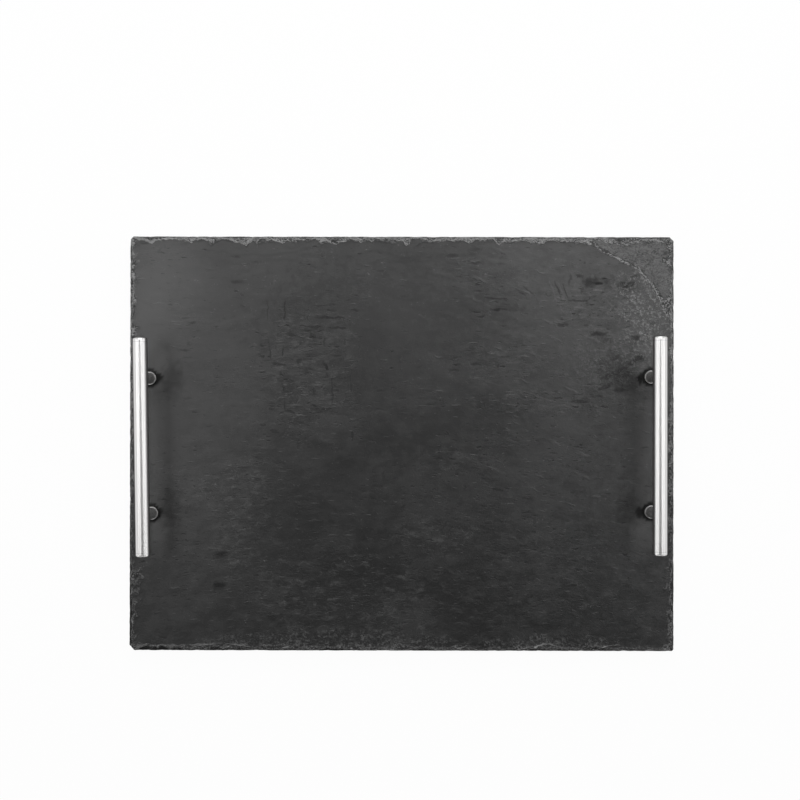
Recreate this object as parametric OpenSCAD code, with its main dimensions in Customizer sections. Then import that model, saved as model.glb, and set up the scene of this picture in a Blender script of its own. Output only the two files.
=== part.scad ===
// Slate serving board with a steel bar handle along each short side.
// +X runs along the long side, +Y points at the rear edge, and the feet stand on Z = 0.

/* [Slate board] */
// Length between the widest points of the hewn edge
board_l = 390; // [340:1:440]
// Width between the widest points of the hewn edge
board_w = 297; // [250:1:340]
// Thickness of the slate
board_t = 6; // [5:0.5:8]
// How far the edge slopes in at the top face, before any chip
edge_slope = 1.5; // [0.8:0.1:2.2]
// How far the edge slopes in at the underside
edge_undercut = 0.8; // [0.4:0.1:1.5]
// Roughness of the widest line of the edge
edge_rough = 0.5; // [0.1:0.1:0.8]
// Spacing of the points that shape the edge
edge_step = 4.3; // [3.5:0.1:8]
// Depth of a deep chip in the top edge
chip_depth = 2; // [0.5:0.1:2.6]
// Spacing of the chips along the edge
chip_l = 13; // [8:1:24]
// Size of the break at each corner
corner_break = 2.4; // [1.5:0.1:4]
// Length of the flake missing at the rear right corner
flake_l = 85; // [60:1:110]
// Height of the step that the flake left
flake_step = 0.4; // [0.2:0.1:0.8]
// Depth of the broken layer at the corner itself
flake_depth = 1.6; // [1:0.1:2.2]
// Hole for a handle's screw
screw_hole_d = 5; // [4.6:0.1:6]

/* [Bars] */
// Outer diameter of a bar
bar_d = 10; // [9:0.5:12]
// Wall of the bar's tube
bar_wall = 1; // [0.8:0.1:1.5]
// Length of a bar over its end caps
bar_l = 150; // [130:1:200]
// Height of the bar's centre above the slate
bar_rise = 30; // [28:1:40]
// Thickness of an end cap's head
cap_head = 2.4; // [1.6:0.1:4]
// Radius of the rounded rim on an end cap
cap_round = 1.2; // [0.4:0.1:1.5]
// Length of the end cap's plug inside the tube
cap_plug = 6; // [4:0.5:9]

/* [Handle places] */
// Distance from the left end of the board to the left bar's centre line
left_inset = 16.2; // [14:0.1:30]
// Distance from the right end of the board to the right bar's centre line
right_inset = 17.6; // [14:0.1:30]
// Turn of the left handle, its rear end outwards
left_turn = 0.95; // [0:0.05:1.5]
// How far the left handle stands behind the board's middle
left_shift = -1.6; // [-4:0.1:4]
// How far the right handle stands behind the board's middle
right_shift = -0.2; // [-4:0.1:4]

/* [Posts] */
// Distance between the two posts of a handle
post_spacing = 96; // [64:1:110]
// Diameter of a post
post_d = 8; // [7.5:0.1:8.8]
// Diameter of the collar at a post's base
collar_d = 9.2; // [9:0.1:10]
// Height of the collar
collar_h = 0.8; // [0.5:0.1:1.5]
// Diameter of the thin washer between a post and the slate
seat_d = 10.6; // [10.2:0.1:13]
// Thickness of that washer
seat_t = 0.8; // [0.5:0.1:1.2]

/* [Fasteners] */
// Thread of the screws and studs
thread_d = 4; // [3.5:0.1:4.2]
// Pitch of that thread
thread_pitch = 0.7; // [0.5:0.05:0.8]
// Depth of the thread's grooves
thread_groove = 0.4; // [0.2:0.05:0.5]
// Length of a base screw under its head
screw_l = 16; // [13:1:18]
// Diameter of a base screw's head
head_d = 8.5; // [7.5:0.1:9.5]
// Height of that head
head_h = 2.2; // [1.8:0.1:2.6]
// Width of one slot of the cross recess
recess_w = 1.1; // [0.8:0.1:1.4]
// Span of the cross recess
recess_l = 4.4; // [3.5:0.1:5]
// Depth of the cross recess
recess_depth = 1.4; // [1:0.1:1.6]
// Outer diameter of the washer under a screw's head
washer_d = 10; // [9.6:0.1:14]
// Thickness of that washer
washer_t = 0.8; // [0.5:0.1:1]
// Length of a stud between post and bar
stud_l = 12; // [9:1:13]
// Length of the threaded slug inside the bar
slug_l = 10; // [8:0.5:14]

/* [Feet] */
// Diameter of a foot where it meets the slate
foot_d = 15; // [12:0.5:20]
// Height of a foot
foot_h = 4; // [4:0.5:8]
// How much narrower a foot is at the table, on each side
foot_taper = 0.8; // [0.2:0.1:1.5]
// Distance from a foot's centre to the board's left or right end
foot_inset_x = 42; // [36:1:60]
// Distance from a foot's centre to the board's front or rear edge
foot_inset_y = 30; // [20:1:50]

/* [Fits] */
// Gap between a part and the bore or saddle that holds it
slide_gap = 0.05; // [0.02:0.01:0.1]
// Gap between a thread and its tapped hole
thread_gap = 0.1; // [0.05:0.01:0.15]
// Empty depth beyond the end of a thread
thread_spare = 1; // [0.5:0.1:1.5]

/* [Hidden] */
$fn = 48;
cut_over = 1;

slate_colour = "#3a3b3c";
steel_colour = "#c9c8c5";
zinc_colour = "#a8abad";
rubber_colour = "#161616";

// Handles are 0 for left and 1 for right. An end is 1 for rear and -1 for front.
left = 0;
right = 1;
rear = 1;
front = -1;
handle_x = [left_inset - board_l / 2, board_l / 2 - right_inset];
handle_y = [left_shift, right_shift];
handle_turn = [left_turn, 0];

slate_top = foot_h + board_t;
bar_z = slate_top + bar_rise;
tube_l = bar_l - 2 * cap_head;
tube_bore_r = bar_d / 2 - bar_wall;
tap_r = thread_d / 2 + thread_gap;
post_foot_z = slate_top + seat_t;
screw_seat_z = foot_h - washer_t;
stud_z = bar_z - bar_d / 2 - stud_l / 2;

// The board's sides run anticlockwise from above: front, right, rear, left.
sides = [0:3];
side_along = [[1, 0], [0, 1], [-1, 0], [0, -1]];
side_out = [[0, -1], [1, 0], [0, 1], [-1, 0]];
side_l = [board_l, board_w, board_l, board_w];
side_span = [board_w, board_l, board_w, board_l];
side_points = [for (l = side_l) round(l / edge_step)];
side_chips = [for (l = side_l) ceil(l / chip_l)];
edge_seed = 41;

// How strongly each side is hewn, and how large the break at its first corner is
hewn_shares = [0.75, 1.1, 1.55, 1];
break_shares = [1.6, 0.7, 1, 1];

// Rings of edge points from the underside up: height, undercut, slope and chip
ring_shares = [[0, 1, 0, 0], [0.3, 0, 0, 0], [0.66, 0, 0.35, 0.5], [1, 0, 1, 1]];
rings = [0:len(ring_shares) - 1];
// Points at each end of a side over which its chips and roughness die out
quiet_points = 2;
smooth_share = 0.35;

// Least and greatest share of a chip's place in its cell, of its half length and of its depth
place_range_shares = [0.15, 0.85];
size_range_shares = [0.4, 1.05];
depth_range_shares = [0.1, 1];
chip_place_shares = chip_table(place_range_shares, edge_seed);
chip_size_shares = chip_table(size_range_shares, edge_seed + 1);
chip_depth_shares = chip_table(depth_range_shares, edge_seed + 2);
rough_shares = [
    for (r = rings) [for (k = sides) rands(0, 1, side_points[k], edge_seed * (r + 2) + k)]
];

// Long flat chips: side, place along it, half length in chip spacings, depth
spall_shares = [[0, 0.11, 2.9, 0.9], [2, 0.16, 2.2, 0.8], [2, 0.62, 1.8, 0.7], [1, 0.3, 2, 0.6]];

// Start of the line where the corner flake broke off, in halves of the board,
// and that line's points in flake lengths, along it and towards the corner
flake_start_shares = [0.666, 0.975];
flake_line_shares = [
    [-0.25, -0.09], [0, -0.005], [0.17, 0.038], [0.39, 0.096], [0.465, 0.116], [0.59, 0.116],
    [0.685, 0.105], [0.81, 0.055], [0.905, 0.015], [1, -0.012], [1.2, -0.07]
];
flake_far_shares = [[1.4, 0.95], [-0.4, 0.95]];
flake_turn = -42.6;
flake_reach_share = 0.55;

rim_steps = 5;

// Outlines as shares of radius and height, from the axis outwards
head_shares = [[0, 1], [0.5, 1], [0.74, 0.93], [0.9, 0.74], [0.98, 0.48], [1, 0.2], [1, 0], [0, 0]];
foot_rim_shares = [[0, 0], [0.86, 0], [0.94, 0.04], [0.98, 0.12], [1, 0.25]];

// One random share for each chip of each side
function chip_table(shares, seed) =
    [for (k = sides) rands(shares[0], shares[1], side_chips[k], seed * (k + 1))];

// A chip is a shallow bowl: 1 in its middle and 0 from one half length on
function bowl(run, place, half_l) = max(0, 1 - pow((run - place) / half_l, 2));

// Depth of the chips at a distance along a side, as a share of the chip depth
function chip_share(side, run) = max([
    for (k = [0:side_chips[side] - 1])
        chip_depth_shares[side][k]
        * bowl(run, (k + chip_place_shares[side][k]) * chip_l, chip_size_shares[side][k] * chip_l),
    for (spall = spall_shares)
        if (spall[0] == side)
            spall[3] * bowl(run, spall[1] * side_l[side], spall[2] * chip_l)
]);

// How far a whole side of a ring lies inside the outline
function side_inset(ring, side) =
    edge_undercut * ring_shares[ring][1]
    + edge_slope * hewn_shares[side] * ring_shares[ring][2];

function corner_cut(ring, side) =
    corner_break * break_shares[side] + side_inset(ring, side) / 2;

// Chips and roughness fade out towards the corners
function fade(i, count) = min(1, i / quiet_points, (count - 1 - i) / quiet_points);

function edge_point(ring, side, i) =
    let (
        count = side_points[side],
        before = (side + 3) % 4,
        after = (side + 1) % 4,
        from = side_inset(ring, before) + corner_cut(ring, side),
        to = side_l[side] - side_inset(ring, after) - corner_cut(ring, after),
        run = from + (to - from) * i / (count - 1),
        chip = chip_depth * hewn_shares[side] * ring_shares[ring][3] * chip_share(side, run),
        rough = edge_rough * max(0, rough_shares[ring][side][i] - smooth_share),
        inset = side_inset(ring, side) + fade(i, count) * (chip + rough),
        place = side_along[side] * (run - side_l[side] / 2)
            + side_out[side] * (side_span[side] / 2 - inset)
    )
    [place.x, place.y, foot_h + board_t * ring_shares[ring][0]];

// All rings one after the other, then the middle of the underside and of the top
board_points = [
    for (r = rings, k = sides, i = [0:side_points[k] - 1]) edge_point(r, k, i),
    [0, 0, foot_h],
    [0, 0, slate_top]
];
ring_count = (len(board_points) - 2) / len(ring_shares);
top_ring = len(ring_shares) - 1;
underside_middle = len(board_points) - 2;
top_middle = len(board_points) - 1;
board_faces = [
    for (i = [0:ring_count - 1])
        let (next = (i + 1) % ring_count, top = top_ring * ring_count)
        each [[underside_middle, i, next], [top_middle, top + next, top + i]],
    for (r = [0:top_ring - 1], i = [0:ring_count - 1])
        let (
            low = r * ring_count,
            high = low + ring_count,
            next = (i + 1) % ring_count
        )
        each [[low + i, high + i, high + next], [low + i, high + next, low + next]]
];

// Half outline of a threaded rod of length l that stands on the origin
function thread_outline(l) =
    let (
        turns = round(l / thread_pitch),
        pitch = l / turns,
        crest = thread_d / 2,
        root = crest - thread_groove
    )
    [
        [0, 0],
        for (k = [0:turns - 1]) each [[root, k * pitch], [crest, (k + 0.5) * pitch]],
        [root, l],
        [0, l]
    ];

// Quarter circle from the X axis to the Y axis
function quarter_round(radius) =
    [for (k = [0:rim_steps]) radius * [cos(90 * k / rim_steps), sin(90 * k / rim_steps)]];

module at_handle(handle)
    translate([handle_x[handle], handle_y[handle], 0])
        rotate([0, 0, handle_turn[handle]])
            children();

module at_post(handle, end)
    at_handle(handle)
        translate([0, end * post_spacing / 2, 0])
            children();

// Cylinder along a bar's axis, centred on the origin
module rod(d, l)
    rotate([90, 0, 0])
        cylinder(d = d, h = l, center = true);

// Void left at the rear right corner, where a thin layer has split away
module corner_flake() {
    start = [flake_start_shares.x * board_l / 2, flake_start_shares.y * board_w / 2];
    tilt = atan((flake_depth - flake_step) / (flake_l * flake_reach_share));
    translate([start.x, start.y, slate_top - flake_step])
        rotate([0, 0, flake_turn])
            rotate([-tilt, 0, 0])
                linear_extrude(height = flake_depth + cut_over)
                    polygon(flake_l * concat(flake_line_shares, flake_far_shares));
}

module slate_board() {
    color(slate_colour)
        difference() {
            polyhedron(points = board_points, faces = board_faces, convexity = 4);
            corner_flake();
            for (handle = [left, right], end = [rear, front])
                at_post(handle, end)
                    translate([0, 0, foot_h - cut_over])
                        cylinder(d = screw_hole_d, h = board_t + 2 * cut_over);
        }
}

module bar_tube(handle) {
    color(steel_colour)
        at_handle(handle)
            translate([0, 0, bar_z])
                difference() {
                    rod(bar_d, tube_l);
                    rod(2 * tube_bore_r, tube_l + 2 * cut_over);
                    for (end = [rear, front])
                        translate([0, end * post_spacing / 2, -bar_d])
                            cylinder(r = tap_r, h = bar_d);
                }
}

module end_cap(handle, end) {
    rim = quarter_round(cap_round);
    plug_r = tube_bore_r - slide_gap;
    color(steel_colour)
        at_handle(handle)
            translate([0, end * tube_l / 2, bar_z])
                rotate([-90 * end, 0, 0])
                    rotate_extrude()
                        polygon([
                            [0, -cap_plug],
                            [plug_r, -cap_plug],
                            [plug_r, 0],
                            [bar_d / 2, 0],
                            for (p = rim)
                                [bar_d / 2 - cap_round + p.x, cap_head - cap_round + p.y],
                            [0, cap_head]
                        ]);
}

module post(handle, end) {
    base_tap = screw_l - washer_t - board_t - seat_t + thread_spare;
    top_tap = stud_l / 2 + thread_spare;
    color(steel_colour)
        at_post(handle, end)
            difference() {
                union() {
                    translate([0, 0, post_foot_z])
                        cylinder(d = post_d, h = bar_z - post_foot_z);
                    translate([0, 0, post_foot_z])
                        cylinder(d = collar_d, h = collar_h);
                }
                translate([0, 0, bar_z])
                    rod(bar_d + 2 * slide_gap, 2 * post_d);
                translate([0, 0, post_foot_z - cut_over])
                    cylinder(r = tap_r, h = base_tap + cut_over);
                translate([0, 0, bar_z - bar_d / 2 - top_tap])
                    cylinder(r = tap_r, h = top_tap + bar_d / 2);
            }
}

module bar_slug(handle, end) {
    color(zinc_colour)
        at_post(handle, end)
            difference() {
                translate([0, 0, bar_z])
                    rod(2 * (tube_bore_r - slide_gap), slug_l);
                translate([0, 0, bar_z - bar_d])
                    cylinder(r = tap_r, h = bar_d / 2 + stud_l / 2 + thread_spare);
            }
}

module stud(handle, end) {
    color(zinc_colour)
        at_post(handle, end)
            translate([0, 0, stud_z])
                rotate_extrude()
                    polygon(thread_outline(stud_l));
}

module ring_washer(d, t) {
    difference() {
        cylinder(d = d, h = t);
        translate([0, 0, -cut_over])
            cylinder(r = tap_r, h = t + 2 * cut_over);
    }
}

module seat_washer(handle, end) {
    color(rubber_colour)
        at_post(handle, end)
            translate([0, 0, slate_top])
                ring_washer(seat_d, seat_t);
}

module screw_washer(handle, end) {
    color(zinc_colour)
        at_post(handle, end)
            translate([0, 0, screw_seat_z])
                ring_washer(washer_d, washer_t);
}

module base_screw(handle, end) {
    color(zinc_colour)
        at_post(handle, end)
            translate([0, 0, screw_seat_z])
                difference() {
                    union() {
                        rotate_extrude()
                            polygon([for (p = head_shares) [p.x * head_d / 2, -p.y * head_h]]);
                        rotate_extrude()
                            polygon(thread_outline(screw_l));
                    }
                    for (turn = [0, 90])
                        rotate([0, 0, turn])
                            translate([-recess_l / 2, -recess_w / 2, -head_h - cut_over])
                                cube([recess_l, recess_w, recess_depth + cut_over]);
                }
}

module foot(handle, end) {
    base_r = foot_d / 2 - foot_taper;
    color(rubber_colour)
        translate([
            (handle == right ? 1 : -1) * (board_l / 2 - foot_inset_x),
            end * (board_w / 2 - foot_inset_y),
            0
        ])
            rotate_extrude()
                polygon([
                    for (p = foot_rim_shares) [p.x * base_r, p.y * foot_h],
                    [foot_d / 2, foot_h],
                    [0, foot_h]
                ]);
}

slate_board();
bar_tube(left);  // left_bar_tube
bar_tube(right);  // right_bar_tube
end_cap(left, rear);  // left_rear_end_cap
end_cap(left, front);  // left_front_end_cap
end_cap(right, rear);  // right_rear_end_cap
end_cap(right, front);  // right_front_end_cap
post(left, rear);  // left_rear_post
post(left, front);  // left_front_post
post(right, rear);  // right_rear_post
post(right, front);  // right_front_post
bar_slug(left, rear);  // left_rear_bar_slug
bar_slug(left, front);  // left_front_bar_slug
bar_slug(right, rear);  // right_rear_bar_slug
bar_slug(right, front);  // right_front_bar_slug
stud(left, rear);  // left_rear_stud
stud(left, front);  // left_front_stud
stud(right, rear);  // right_rear_stud
stud(right, front);  // right_front_stud
seat_washer(left, rear);  // left_rear_seat_washer
seat_washer(left, front);  // left_front_seat_washer
seat_washer(right, rear);  // right_rear_seat_washer
seat_washer(right, front);  // right_front_seat_washer
base_screw(left, rear);  // left_rear_base_screw
base_screw(left, front);  // left_front_base_screw
base_screw(right, rear);  // right_rear_base_screw
base_screw(right, front);  // right_front_base_screw
screw_washer(left, rear);  // left_rear_screw_washer
screw_washer(left, front);  // left_front_screw_washer
screw_washer(right, rear);  // right_rear_screw_washer
screw_washer(right, front);  // right_front_screw_washer
foot(left, rear);  // left_rear_foot
foot(left, front);  // left_front_foot
foot(right, rear);  // right_rear_foot
foot(right, front);  // right_front_foot
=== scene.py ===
import functools
import math

import bpy
import numpy as np
from mathutils import Matrix, Vector


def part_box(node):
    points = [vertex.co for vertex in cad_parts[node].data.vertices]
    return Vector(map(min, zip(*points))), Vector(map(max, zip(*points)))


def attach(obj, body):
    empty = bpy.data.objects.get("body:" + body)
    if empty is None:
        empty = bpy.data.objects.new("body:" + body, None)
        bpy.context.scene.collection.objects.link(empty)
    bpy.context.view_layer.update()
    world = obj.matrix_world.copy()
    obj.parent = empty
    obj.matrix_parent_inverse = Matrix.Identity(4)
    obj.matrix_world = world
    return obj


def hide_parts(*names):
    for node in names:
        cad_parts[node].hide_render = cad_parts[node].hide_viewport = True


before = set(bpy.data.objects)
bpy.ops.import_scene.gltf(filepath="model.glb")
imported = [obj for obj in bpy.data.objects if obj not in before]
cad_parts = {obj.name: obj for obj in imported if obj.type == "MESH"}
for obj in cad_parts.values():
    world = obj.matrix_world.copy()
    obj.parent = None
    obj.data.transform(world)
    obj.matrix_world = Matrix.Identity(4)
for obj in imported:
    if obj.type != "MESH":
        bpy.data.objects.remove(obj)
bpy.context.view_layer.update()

MM = 0.001
HANDLES = ("left", "right")
CORNERS = [f"{handle}_{end}" for handle in HANDLES for end in ("rear", "front")]


# Noise

NOISE_CELLS = 256


def smoothstep(low, high, value):
    """0 at low, 1 at high, and a smooth ramp between them."""
    t = np.clip((value - low) / (high - low), 0, 1)
    return t * t * (3 - 2 * t)


def gradient_noise(x, y, seed):
    """Smooth noise with one bump for each unit of x and y, from about -0.7 to 0.7."""
    angles = np.random.default_rng(seed).random((NOISE_CELLS, NOISE_CELLS)) * 2 * math.pi
    across, up = np.cos(angles), np.sin(angles)
    column, row = np.floor(x).astype(int), np.floor(y).astype(int)
    fx, fy = x - column, y - row

    def corner(i, j):
        at = (column + i) % NOISE_CELLS, (row + j) % NOISE_CELLS
        return across[at] * (fx - i) + up[at] * (fy - j)

    wx = fx * fx * fx * (fx * (fx * 6 - 15) + 10)
    wy = fy * fy * fy * (fy * (fy * 6 - 15) + 10)
    low = corner(0, 0) * (1 - wx) + corner(1, 0) * wx
    high = corner(0, 1) * (1 - wx) + corner(1, 1) * wx
    return low * (1 - wy) + high * wy


def fractal(x, y, seed, octaves=4, gain=0.5):
    """Noise with finer and weaker detail in each octave."""
    total, weight = np.zeros_like(x, dtype=float), 1.0
    for octave in range(octaves):
        total += weight * gradient_noise(x * 2 ** octave, y * 2 ** octave, seed + octave)
        weight *= gain
    return total


def terraces(field, sharp=0.7):
    """The field in whole steps, with a short ramp before each one."""
    level = np.floor(field)
    return level + smoothstep(sharp, 1, field - level)


# The slate board. Lengths in this section are in millimetres.

slate_low, slate_high = (np.array(c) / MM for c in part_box("slate_board"))
HALF_X, HALF_Y = slate_high[0], slate_high[1]
TOP, BOTTOM = slate_high[2], slate_low[2]
THICKNESS = TOP - BOTTOM

COARSE_CELL = 1.7
FINE_CELL = 0.95
FINE_FROM_X, FINE_FROM_Y = 125, 80
UNDERSIDE_EVERY = 3
TOP_INSET = 2.0
LAMINA_WAVE = 0.12
UNDERSIDE_RISE = 0.12
SHARP_ANGLE = 40
CORNER_RADIUS = 1.2
LAMINA_SHARES = (0, 0.09, 0.2, 0.33, 0.47, 0.62, 0.8, 1)
LEAST_LEDGE = 0.05
RIM_LEDGE = 0.4
SHADED_RIM_LOOPS = 4
EDGE_REACH = 16
STEP_HEIGHT = 0.055
FLAT_RADIUS = 7
FLAT_FADE = 9

# How much each side is hewn: front, right, rear, left
HEWN = (0.5, 0.9, 1.2, 0.75)

# Breaks at the corners: side in X, side in Y and length of the break along both edges
CORNER_BREAKS = ((-1, -1, 4.0), (1, -1, 1.6), (1, 1, 3.0), (-1, 1, 2.2))

# The broken corner: start of its line, turn and length, as in the solid
FLAKE_START = (0.666 * HALF_X, 0.975 * HALF_Y)
FLAKE_TURN = math.radians(-42.6)
FLAKE_LENGTH = 85
FLAKE_LINE = ((-0.25, -0.09), (0, -0.005), (0.17, 0.038), (0.39, 0.096), (0.465, 0.116),
              (0.59, 0.116), (0.685, 0.105), (0.81, 0.055), (0.905, 0.015), (1, -0.012),
              (1.2, -0.07))
FLAKE_STEP = 0.4
FLAKE_DEPTH = 1.6
FLAKE_REACH = 0.55 * FLAKE_LENGTH


def grid_lines(half, fine_from):
    """Positions from -half to half: coarse, then fine. The count fits the underside's wider grid."""
    coarse = int(round((fine_from + half) / COARSE_CELL / UNDERSIDE_EVERY)) * UNDERSIDE_EVERY
    fine = int(round((half - fine_from) / FINE_CELL / UNDERSIDE_EVERY)) * UNDERSIDE_EVERY
    return np.concatenate([
        np.linspace(-half, fine_from, coarse + 1),
        np.linspace(fine_from, half, fine + 1)[1:],
    ])


def middles(kind):
    """Middles of the four pieces of one kind, which have one at each end of each handle."""
    boxes = [np.array(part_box(f"{corner}_{kind}")) for corner in CORNERS]
    return [(low + high) / 2 / MM for low, high in boxes]


def flat_near(x, y, spots):
    """0 at the spots, rising to 1 away from them."""
    keep = np.ones_like(x)
    for spot in spots:
        distance = np.hypot(x - spot[0], y - spot[1])
        keep *= smoothstep(FLAT_RADIUS, FLAT_RADIUS + FLAT_FADE, distance)
    return keep


def flake_offset(x, y):
    """Distance beyond the line where the corner flake broke off, towards the corner."""
    dx, dy = x - FLAKE_START[0], y - FLAKE_START[1]
    along = dx * math.cos(FLAKE_TURN) + dy * math.sin(FLAKE_TURN)
    out = -dx * math.sin(FLAKE_TURN) + dy * math.cos(FLAKE_TURN)
    line = np.array(FLAKE_LINE) * FLAKE_LENGTH
    return out - np.interp(along, line[:, 0], line[:, 1])


def flake_drop(x, y):
    """Depth of the broken corner below the top face, in two ragged steps."""
    offset = flake_offset(x, y) + 1.2 * fractal(x / 7, y / 7, 61, 3)
    slope = (FLAKE_DEPTH - FLAKE_STEP) / FLAKE_REACH
    second = smoothstep(7, 8.5, offset + 5 * fractal(x / 16, y / 22, 64, 3))
    rough = terraces(4 * fractal(x / 26, y / 7, 67, 4) + 3) * 0.07
    broken = FLAKE_STEP * smoothstep(0, 1.3, offset) + 0.22 * second
    return broken + np.clip(offset, 0, None) * slope + rough * smoothstep(0, 4, offset)


def cleavage(x, y, seed):
    """Height of the riven face: low ragged plateaus, a little drawn out along the board."""
    warp = 7 * gradient_noise(x / 38, y / 26, seed) + 1.5 * fractal(x / 6, y / 5, seed + 3, 2)
    slant = 0.25 * smoothstep(-20, 120, x)
    wide = fractal((x + warp) / 62, (y + slant * x + 0.6 * warp) / 26, seed + 1, 3, 0.45)
    small = fractal((x + warp) / 15, (y + slant * x) / 6.5, seed + 7, 2)
    return STEP_HEIGHT * (terraces(3.4 * wide, 0.8) + 0.3 * small)


def top_relief(x, y, spots):
    """Height of the top face over its plane, never above it."""
    swell = 0.12 * gradient_noise(x / 110, y / 90, 5)
    riven = cleavage(x, y, 11) + swell - 0.2
    return np.minimum(riven, 0) * flat_near(x, y, spots) - flake_drop(x, y)


def ring(square, inset):
    """A loop of edge points: the board's outline, moved inwards by the inset of each point.

    The square is the outline's plan, with sides at -1 and 1."""
    half = np.array([HALF_X, HALF_Y])
    point = square * half
    core = np.clip(point, CORNER_RADIUS - half, half - CORNER_RADIUS)
    out = point - core
    out /= np.maximum(np.linalg.norm(out, axis=1, keepdims=True), 1e-9)
    loop = core + out * (CORNER_RADIUS - inset[:, None])
    for side_x, side_y, length in CORNER_BREAKS:
        to_corner = HALF_X - loop[:, 0] * side_x + HALF_Y - loop[:, 1] * side_y
        move = np.clip(length + math.sqrt(2) * inset - to_corner, 0, None) / 2
        loop -= move[:, None] * np.array([side_x, side_y])
    return loop


def lies_on_x(square):
    """Whether each point of the square is on its front or rear side, where Y is 1 or -1."""
    return np.abs(square[:, 1]) > 0.999999


def side_strength(square):
    """How strongly the edge is hewn at each point, fading at the corners."""
    front, right, rear, left = HEWN
    x, y = square[:, 0] * HALF_X, square[:, 1] * HALF_Y
    on_x = lies_on_x(square)
    strength = np.where(on_x, np.where(y > 0, rear, front), np.where(x > 0, right, left))
    corner = smoothstep(0, 7, np.where(on_x, HALF_X - np.abs(x), HALF_Y - np.abs(y)))
    mean = (front + right + rear + left) / 4
    return strength * corner + 0.35 * mean * (1 - corner)


def edge_rings(square):
    """Insets and depth shares of the hewn edge, from the top edge to the underside.

    Each lamina has an upper and a lower loop. Between laminae the edge steps out on a ledge."""
    x, y = square[:, 0] * HALF_X, square[:, 1] * HALF_Y
    hewn = side_strength(square)
    count = len(LAMINA_SHARES) - 1
    inset = 0.03 + 0.4 * np.clip(fractal(x / 6, y / 6, 200, 4) + 0.1, 0, None)
    undercut = 0.5 + 0.5 * np.clip(fractal(x / 9, y / 9, 210, 3) + 0.2, 0, None)
    loops = [(inset + undercut, 1.0), (inset + 0.35 * undercut, LAMINA_SHARES[-2])]
    for lamina in range(count - 2, -1, -1):
        low_share, high_share = LAMINA_SHARES[lamina + 1], LAMINA_SHARES[lamina]
        long_break = fractal(x / 21, y / 21, 220 + 9 * lamina, 2)
        short_break = fractal(x / 5.5, y / 5.5, 300 + 9 * lamina, 4, 0.6)
        broken = np.clip(1.1 * long_break + 0.8 * short_break + 0.08, 0, None)
        ledge = LEAST_LEDGE + 1.3 * hewn * broken + side_spalls(square, x, y, lamina)
        if lamina == count - 2:
            ledge = RIM_LEDGE * (0.7 + np.clip(short_break, 0, 1))
        lower = inset + ledge
        riser = 0.12 + 0.35 * hewn * np.clip(fractal(x / 3.5, y / 3.5, 400 + lamina, 3) + 0.25, 0, 1)
        upper = lower + riser
        loops.append((lower, low_share - 0.012))
        loops.append((upper, high_share))
        inset = upper
    return loops[::-1]


# Larger flakes off each side: start, deepest place and end along it, width, and the
# lamina that they reach
SPALLS = {
    "rear": (
        (-190, -186, -172, 1.2, 3), (-168, -150, -138, 1.1, 2), (-120, -106, -102, 3.4, 2),
        (-93, -84, -76, 2.2, 1), (-54, -47, -39, 2.6, 2), (-35, -22, -19, 2.4, 1),
        (-7, 4, 6.5, 4.0, 2), (16, 22, 30, 1.2, 3), (34, 52, 60, 2.0, 1), (66, 74, 80, 1.6, 2),
        (84, 96, 112, 2.6, 2), (118, 126, 132, 2.0, 1), (150, 160, 178, 1.0, 3),
    ),
    "front": (
        (-190, -180, -150, 2.6, 4), (-150, -130, -108, 2.2, 3), (-104, -100, -96, 1.4, 2),
        (-92, -80, -74, 1.2, 3), (-60, -48, -36, 1.0, 3), (10, 18, 30, 0.9, 3),
        (88, 96, 104, 2.0, 2), (110, 122, 130, 1.0, 3), (134, 141, 152, 2.2, 2),
    ),
    "left": (
        (86, 100, 118, 1.5, 2), (120, 134, 142, 1.2, 3), (40, 60, 66, 1.0, 3),
        (-140, -120, -90, 1.4, 4),
    ),
    "right": (
        (64, 76, 90, 1.6, 2), (10, 26, 40, 1.0, 2), (-60, -44, -36, 1.1, 3),
        (-120, -100, -84, 1.2, 3),
    ),
}


def spall_width(side, at, lamina, ragged):
    """Extra ledge width at points along one side, from the larger flakes."""
    width = np.zeros_like(at)
    for start, deepest, end, depth, level in SPALLS[side]:
        if level == lamina:
            inside = np.minimum((at - start) / (deepest - start), (end - at) / (end - deepest))
            inside = np.sqrt(np.clip(inside, 0, 1))
            width = np.maximum(width, depth * inside * np.clip(0.8 + 1.2 * ragged, 0.1, 2))
    return width


def side_spalls(square, x, y, lamina):
    """Extra ledge width for every point of the outline."""
    ragged = fractal(x / 7, y / 7, 620 + lamina, 3)
    along_x = np.where(y > 0, spall_width("rear", x, lamina, ragged),
                       spall_width("front", x, lamina, ragged))
    along_y = np.where(x > 0, spall_width("right", y, lamina, ragged),
                       spall_width("left", y, lamina, ragged))
    return np.where(lies_on_x(square), along_x, along_y)


def fade_in(distance):
    """1 at the border of the top face, falling to 0 over the reach of the edge."""
    return np.clip(1 - distance / EDGE_REACH, 0, 1) ** 2


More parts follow.
